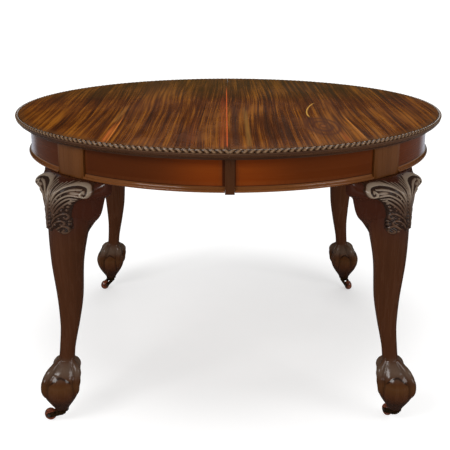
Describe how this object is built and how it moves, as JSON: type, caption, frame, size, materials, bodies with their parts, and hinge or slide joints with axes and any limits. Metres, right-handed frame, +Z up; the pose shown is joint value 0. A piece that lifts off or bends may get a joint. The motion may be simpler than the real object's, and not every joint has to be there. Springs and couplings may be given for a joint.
{
  "type": "round extending dining table",
  "caption": "Round wind-out dining table on carved cabriole legs with ball and claw feet and castors; its two halves slide apart on a lead screw to take a loose leaf.",
  "frame": {"origin": "on the floor under the centre of the closed top", "axes": "+Z up, +X from the fixed half towards the half that slides, -Y towards the front"},
  "size_m": [1.22, 1.22, 0.762],
  "materials": {
    "polished_top": "gloss",
    "rope_edge": "gloss",
    "apron_bead": "gloss",
    "apron_veneer": "gloss",
    "seam_stile": "gloss",
    "carved_leg": "gloss",
    "knee_bracket": "gloss",
    "frame_wood": "matte",
    "peg_wood": "satin",
    "screw_steel": "satin",
    "fastener_steel": "satin",
    "cast_iron_gear": "matte",
    "castor_brass": "satin",
    "castor_wheel": "gloss"
  },
  "bodies": {
    "left_half": {"top_left": "polished_top", "rope_edge_left": "rope_edge", "apron_front_left": "apron_veneer", "apron_side_left": "apron_veneer", "apron_rear_left": "apron_veneer", "apron_bead_left": "apron_bead", "leg_front_left": "carved_leg", "leg_rear_left": "carved_leg", "knee_brackets_front_left": "knee_bracket", "knee_brackets_rear_left": "knee_bracket", "leg_braces_left": "frame_wood", "leg_bolts_left": "fastener_steel", "castor_plate_front_left": "castor_brass", "castor_plate_rear_left": "castor_brass", "outer_runner_front": "frame_wood", "outer_runner_rear": "frame_wood", "bearer_end_left": "frame_wood", "bearer_seam_left": "frame_wood", "runner_screws_left": "fastener_steel", "screw_bearing": "cast_iron_gear", "winder_escutcheon": "castor_brass"},
    "right_half": {"top_right": "polished_top", "rope_edge_right": "rope_edge", "leaf_pegs": "peg_wood", "apron_front_right": "apron_veneer", "apron_side_right": "apron_veneer", "apron_rear_right": "apron_veneer", "apron_bead_right": "apron_bead", "seam_stiles": "seam_stile", "leg_front_right": "carved_leg", "leg_rear_right": "carved_leg", "knee_brackets_front_right": "knee_bracket", "knee_brackets_rear_right": "knee_bracket", "leg_braces_right": "frame_wood", "leg_bolts_right": "fastener_steel", "castor_plate_front_right": "castor_brass", "castor_plate_rear_right": "castor_brass", "inner_runner_front": "frame_wood", "inner_runner_rear": "frame_wood", "bearer_end_right": "frame_wood", "bearer_seam_right": "frame_wood", "runner_screws_right": "fastener_steel", "nut_bar": "frame_wood", "screw_nut": "cast_iron_gear"},
    "middle_runners": {"middle_runner_front": "frame_wood", "middle_runner_rear": "frame_wood", "middle_ties": "frame_wood"},
    "lead_screw": {"lead_screw": "screw_steel"},
    "castor_swivel_front_left": {"castor_horn_front_left": "castor_brass", "castor_axle_front_left": "fastener_steel"},
    "castor_roller_front_left": {"castor_wheel_front_left": "castor_wheel"},
    "castor_swivel_front_right": {"castor_horn_front_right": "castor_brass", "castor_axle_front_right": "fastener_steel"},
    "castor_roller_front_right": {"castor_wheel_front_right": "castor_wheel"},
    "castor_swivel_rear_left": {"castor_horn_rear_left": "castor_brass", "castor_axle_rear_left": "fastener_steel"},
    "castor_roller_rear_left": {"castor_wheel_rear_left": "castor_wheel"},
    "castor_swivel_rear_right": {"castor_horn_rear_right": "castor_brass", "castor_axle_rear_right": "fastener_steel"},
    "castor_roller_rear_right": {"castor_wheel_rear_right": "castor_wheel"}
  },
  "joints": [
    {"name": "table_extension", "type": "slide", "parent": "left_half", "child": "right_half", "axis": [1, 0, 0], "range_m": [0, 0.45]},
    {"name": "middle_runner_slide", "type": "slide", "parent": "left_half", "child": "middle_runners", "axis": [1, 0, 0], "range_m": [0, 0.225]},
    {"name": "lead_screw_turn", "type": "hinge", "parent": "left_half", "child": "lead_screw", "pos_m": [-0.5, 0, 0.686], "axis": [1, 0, 0], "range_deg": [-12760.9, 0]},
    {"name": "castor_swivel_front_left", "type": "hinge", "parent": "left_half", "child": "castor_swivel_front_left", "pos_m": [-0.43648, -0.46807, 0.03], "axis": [0, 0, 1], "continuous": true},
    {"name": "castor_roll_front_left", "type": "hinge", "parent": "castor_swivel_front_left", "child": "castor_roller_front_left", "pos_m": [-0.46932, -0.45927, 0.016], "axis": [-0.2588, -0.9659, 0], "continuous": true},
    {"name": "castor_swivel_front_right", "type": "hinge", "parent": "right_half", "child": "castor_swivel_front_right", "pos_m": [0.43648, -0.46807, 0.03], "axis": [0, 0, 1], "continuous": true},
    {"name": "castor_roll_front_right", "type": "hinge", "parent": "castor_swivel_front_right", "child": "castor_roller_front_right", "pos_m": [0.42374, -0.43654, 0.016], "axis": [-0.9272, -0.3746, 0], "continuous": true},
    {"name": "castor_swivel_rear_left", "type": "hinge", "parent": "left_half", "child": "castor_swivel_rear_left", "pos_m": [-0.43648, 0.46807, 0.03], "axis": [0, 0, 1], "continuous": true},
    {"name": "castor_roll_rear_left", "type": "hinge", "parent": "castor_swivel_rear_left", "child": "castor_roller_rear_left", "pos_m": [-0.45598, 0.44022, 0.016], "axis": [0.8192, -0.5736, 0], "continuous": true},
    {"name": "castor_swivel_rear_right", "type": "hinge", "parent": "right_half", "child": "castor_swivel_rear_right", "pos_m": [0.43648, 0.46807, 0.03], "axis": [0, 0, 1], "continuous": true},
    {"name": "castor_roll_rear_right", "type": "hinge", "parent": "castor_swivel_rear_right", "child": "castor_roller_rear_right", "pos_m": [0.44922, 0.43654, 0.016], "axis": [0.9272, 0.3746, 0], "continuous": true}
  ],
  "couplings": [
    {"joint": "middle_runner_slide", "follows": "table_extension", "ratio": 0.5},
    {"joint": "lead_screw_turn", "follows": "table_extension", "rad_per_m": -494.74}
  ]
}
